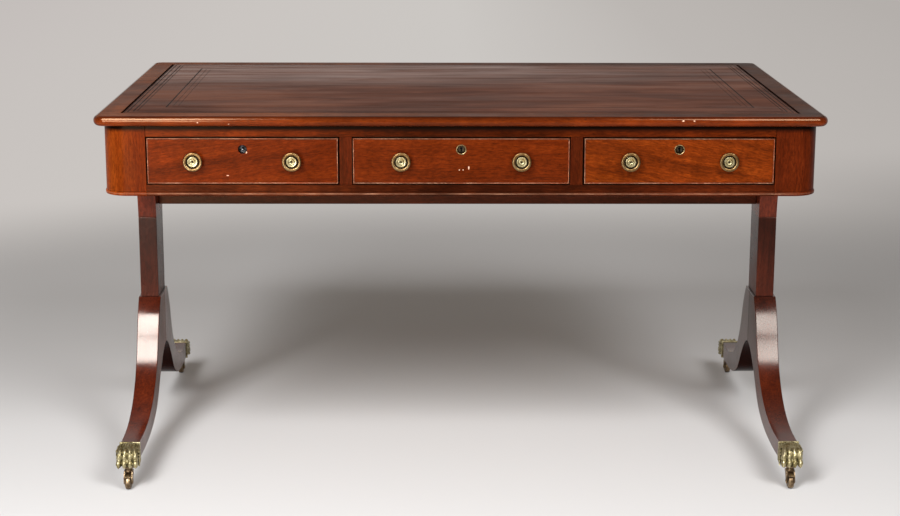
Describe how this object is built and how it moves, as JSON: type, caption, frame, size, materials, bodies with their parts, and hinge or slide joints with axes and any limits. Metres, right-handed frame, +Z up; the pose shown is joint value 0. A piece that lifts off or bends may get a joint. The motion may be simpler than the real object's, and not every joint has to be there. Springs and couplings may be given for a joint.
{
  "type": "partners desk",
  "caption": "Double-sided writing desk with a leather-lined top, drawers with ring-moulded brass knobs on both long sides, and sabre-leg end trestles on lion-paw brass casters.",
  "frame": {"origin": "on the floor under the middle of the desk", "axes": "+X to the right along the long side seen in the picture, +Y from that side towards the far side, +Z up"},
  "size_m": [1.406, 0.86, 0.75],
  "materials": {
    "top_mahogany": "french polished mahogany border round the leather, orange-brown, worn paler along the bullnose edge",
    "frieze_mahogany": "french polished mahogany with fine straight grain and dark pores",
    "trestle_mahogany": "glossy dark red-brown mahogany, paler at worn edges",
    "inner_wood": "unpolished drawer lining and carcass timber, slightly dusty",
    "leather": "aged brown hide with blind-tooled borders, semi-matt, scuffed",
    "brass": "old lacquered brass, dark patina in the grooves",
    "paw_brass": "cast brass, polished on the high parts and dark in the hollows",
    "caster_brass": "dull brass, brown with age and use",
    "lock_steel": "plain dark steel lock case seen through the bare keyhole bore"
  },
  "bodies": {
    "desk": {"top_board": "top_mahogany", "leather_inset": "leather", "corner_post_front_left": "frieze_mahogany", "corner_post_front_right": "frieze_mahogany", "corner_post_rear_left": "frieze_mahogany", "corner_post_rear_right": "frieze_mahogany", "front_frame": "frieze_mahogany", "rear_frame": "frieze_mahogany", "side_panel_left": "frieze_mahogany", "side_panel_right": "frieze_mahogany", "carcass_frame": "inner_wood", "standard_left": "trestle_mahogany", "standard_right": "trestle_mahogany", "trestle_rail": "trestle_mahogany", "leg_front_left": "trestle_mahogany", "leg_front_right": "trestle_mahogany", "leg_rear_left": "trestle_mahogany", "leg_rear_right": "trestle_mahogany", "paw_front_left": "paw_brass", "paw_front_right": "paw_brass", "paw_rear_left": "paw_brass", "paw_rear_right": "paw_brass"},
    "drawer_front_row_left": {"drawer_front_front_left": "frieze_mahogany", "drawer_box_front_left": "inner_wood", "knob_front_left_a": "brass", "knob_front_left_b": "brass", "lock_front_left": "lock_steel"},
    "drawer_front_row_centre": {"drawer_front_front_centre": "frieze_mahogany", "drawer_box_front_centre": "inner_wood", "knob_front_centre_a": "brass", "knob_front_centre_b": "brass", "lock_front_centre": "brass"},
    "drawer_front_row_right": {"drawer_front_front_right": "frieze_mahogany", "drawer_box_front_right": "inner_wood", "knob_front_right_a": "brass", "knob_front_right_b": "brass", "lock_front_right": "brass"},
    "drawer_rear_row_left": {"drawer_front_rear_left": "frieze_mahogany", "drawer_box_rear_left": "inner_wood", "knob_rear_left_a": "brass", "knob_rear_left_b": "brass", "lock_rear_left": "brass"},
    "drawer_rear_row_centre": {"drawer_front_rear_centre": "frieze_mahogany", "drawer_box_rear_centre": "inner_wood", "knob_rear_centre_a": "brass", "knob_rear_centre_b": "brass", "lock_rear_centre": "brass"},
    "drawer_rear_row_right": {"drawer_front_rear_right": "frieze_mahogany", "drawer_box_rear_right": "inner_wood", "knob_rear_right_a": "brass", "knob_rear_right_b": "brass", "lock_rear_right": "brass"},
    "fork_front_left": {"caster_fork_front_left": "caster_brass"},
    "fork_front_right": {"caster_fork_front_right": "caster_brass"},
    "fork_rear_left": {"caster_fork_rear_left": "caster_brass"},
    "fork_rear_right": {"caster_fork_rear_right": "caster_brass"},
    "wheel_front_left": {"caster_wheel_front_left": "caster_brass"},
    "wheel_front_right": {"caster_wheel_front_right": "caster_brass"},
    "wheel_rear_left": {"caster_wheel_rear_left": "caster_brass"},
    "wheel_rear_right": {"caster_wheel_rear_right": "caster_brass"}
  },
  "joints": [
    {"name": "slide_front_left", "type": "slide", "parent": "desk", "child": "drawer_front_row_left", "axis": [0, -1, 0], "range_m": [0, 0.27]},
    {"name": "slide_front_centre", "type": "slide", "parent": "desk", "child": "drawer_front_row_centre", "axis": [0, -1, 0], "range_m": [0, 0.27]},
    {"name": "slide_front_right", "type": "slide", "parent": "desk", "child": "drawer_front_row_right", "axis": [0, -1, 0], "range_m": [0, 0.27]},
    {"name": "slide_rear_left", "type": "slide", "parent": "desk", "child": "drawer_rear_row_left", "axis": [0, 1, 0], "range_m": [0, 0.27]},
    {"name": "slide_rear_centre", "type": "slide", "parent": "desk", "child": "drawer_rear_row_centre", "axis": [0, 1, 0], "range_m": [0, 0.27]},
    {"name": "slide_rear_right", "type": "slide", "parent": "desk", "child": "drawer_rear_row_right", "axis": [0, 1, 0], "range_m": [0, 0.27]},
    {"name": "swivel_front_left", "type": "hinge", "parent": "desk", "child": "fork_front_left", "pos_m": [-0.66, -0.404, 0.045], "axis": [0, 0, 1], "continuous": true},
    {"name": "swivel_front_right", "type": "hinge", "parent": "desk", "child": "fork_front_right", "pos_m": [0.66, -0.404, 0.045], "axis": [0, 0, 1], "continuous": true},
    {"name": "swivel_rear_left", "type": "hinge", "parent": "desk", "child": "fork_rear_left", "pos_m": [-0.66, 0.404, 0.045], "axis": [0, 0, 1], "continuous": true},
    {"name": "swivel_rear_right", "type": "hinge", "parent": "desk", "child": "fork_rear_right", "pos_m": [0.66, 0.404, 0.045], "axis": [0, 0, 1], "continuous": true},
    {"name": "roll_front_left", "type": "hinge", "parent": "fork_front_left", "child": "wheel_front_left", "pos_m": [-0.66, -0.412, 0.015], "axis": [1, 0, 0], "continuous": true},
    {"name": "roll_front_right", "type": "hinge", "parent": "fork_front_right", "child": "wheel_front_right", "pos_m": [0.66, -0.412, 0.015], "axis": [1, 0, 0], "continuous": true},
    {"name": "roll_rear_left", "type": "hinge", "parent": "fork_rear_left", "child": "wheel_rear_left", "pos_m": [-0.66, 0.412, 0.015], "axis": [1, 0, 0], "continuous": true},
    {"name": "roll_rear_right", "type": "hinge", "parent": "fork_rear_right", "child": "wheel_rear_right", "pos_m": [0.66, 0.412, 0.015], "axis": [1, 0, 0], "continuous": true}
  ]
}
